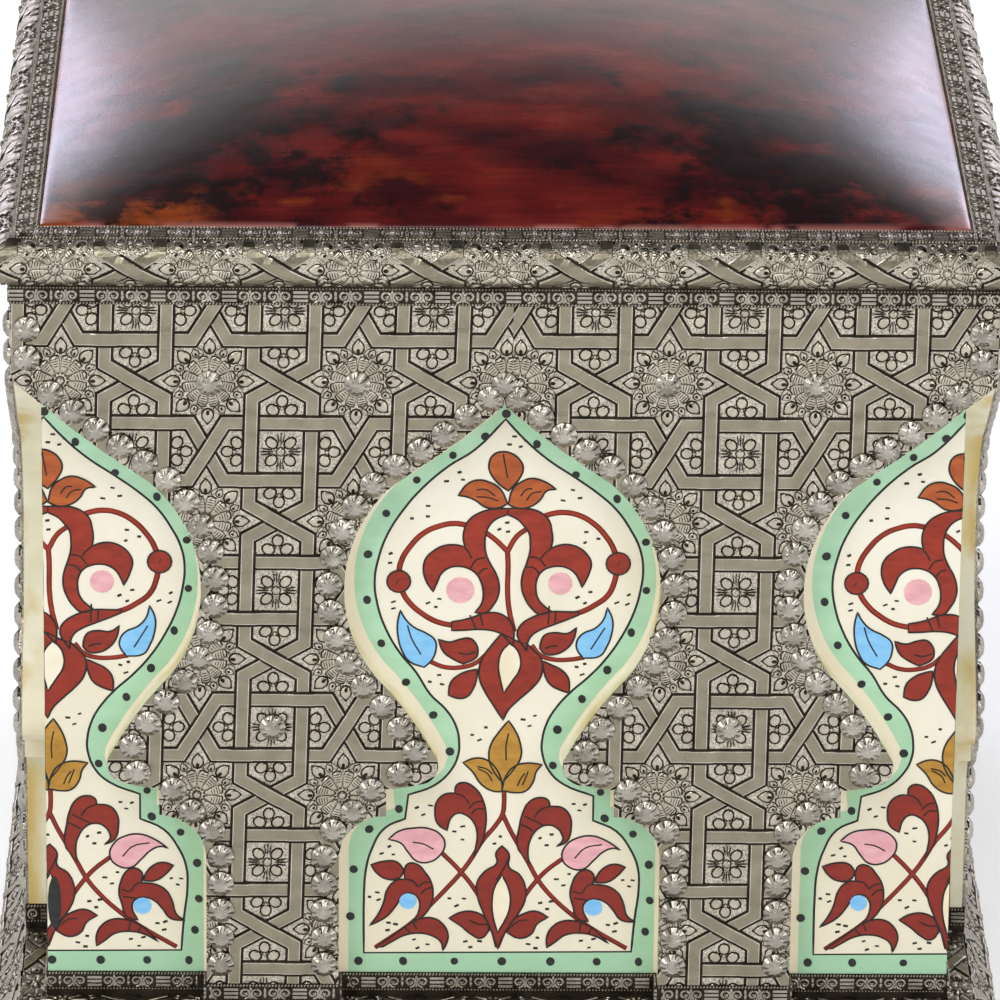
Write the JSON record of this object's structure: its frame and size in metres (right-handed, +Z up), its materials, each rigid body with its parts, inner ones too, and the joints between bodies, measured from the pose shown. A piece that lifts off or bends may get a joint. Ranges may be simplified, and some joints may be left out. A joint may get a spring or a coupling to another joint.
{
  "type": "box stool",
  "caption": "Square Moroccan kursi stool: painted niches in embossed metal cladding, flared plinth, and a leather cushioned lid hinged at the back over a storage box.",
  "frame": {"origin": "on the floor, at the middle of the plinth's underside", "axes": "+Z up, front towards -Y, +X to the right of someone who looks at the front"},
  "size_m": [0.464, 0.464, 0.45],
  "materials": {
    "cream_paint": "hand painted cream under aged varnish",
    "bare_wood": "bare softwood and plywood",
    "embossed_sheet": "thin nickel silver sheet, embossed by hand and darkened in its grooves",
    "scroll_band": "stamped nickel silver strip, darkened in its grooves",
    "dome_nail": "fluted nickel plated dome heads",
    "seat_leather": "dark red-brown mottled leather, polished",
    "padding": "packed fibre stuffing",
    "hinge_brass": "plain rolled brass, dulled",
    "screw_steel": "zinc plated"
  },
  "bodies": {
    "box": {"bottom_panel": "bare_wood", "core_board_back": "cream_paint", "core_board_front": "cream_paint", "core_board_left": "cream_paint", "core_board_right": "cream_paint", "corner_battens": "bare_wood", "dome_nails_back": "dome_nail", "dome_nails_front": "dome_nail", "dome_nails_left": "dome_nail", "dome_nails_right": "dome_nail", "foot_band_back": "scroll_band", "foot_band_front": "scroll_band", "foot_band_left": "scroll_band", "foot_band_right": "scroll_band", "fretted_board_back": "cream_paint", "fretted_board_front": "cream_paint", "fretted_board_left": "cream_paint", "fretted_board_right": "cream_paint", "hinge_leaves_box": "hinge_brass", "hinge_pins": "hinge_brass", "hinge_screws_box": "screw_steel", "plinth_blocks": "bare_wood", "plinth_board_back": "bare_wood", "plinth_board_front": "bare_wood", "plinth_board_left": "bare_wood", "plinth_board_right": "bare_wood", "plinth_sheet_back": "embossed_sheet", "plinth_sheet_front": "embossed_sheet", "plinth_sheet_left": "embossed_sheet", "plinth_sheet_right": "embossed_sheet", "top_band_back": "scroll_band", "top_band_front": "scroll_band", "top_band_left": "scroll_band", "top_band_right": "scroll_band", "wall_sheet_back": "embossed_sheet", "wall_sheet_front": "embossed_sheet", "wall_sheet_left": "embossed_sheet", "wall_sheet_right": "embossed_sheet"},
    "lid": {"lid_board": "bare_wood", "seat_padding": "padding", "seat_leather": "seat_leather", "hinge_leaves_lid": "hinge_brass", "hinge_screws_lid": "screw_steel", "lid_rail_front": "bare_wood", "lid_rail_right": "bare_wood", "lid_rail_back": "bare_wood", "lid_rail_left": "bare_wood", "nose_sheet_front": "embossed_sheet", "nose_sheet_right": "embossed_sheet", "nose_sheet_back": "embossed_sheet", "nose_sheet_left": "embossed_sheet", "border_band_front": "scroll_band", "border_band_right": "scroll_band", "border_band_back": "scroll_band", "border_band_left": "scroll_band"}
  },
  "joints": [
    {"name": "lid_hinge", "type": "hinge", "parent": "box", "child": "lid", "pos_m": [0, 0.2198, 0.3915], "axis": [-1, 0, 0], "range_deg": [0, 100]}
  ]
}
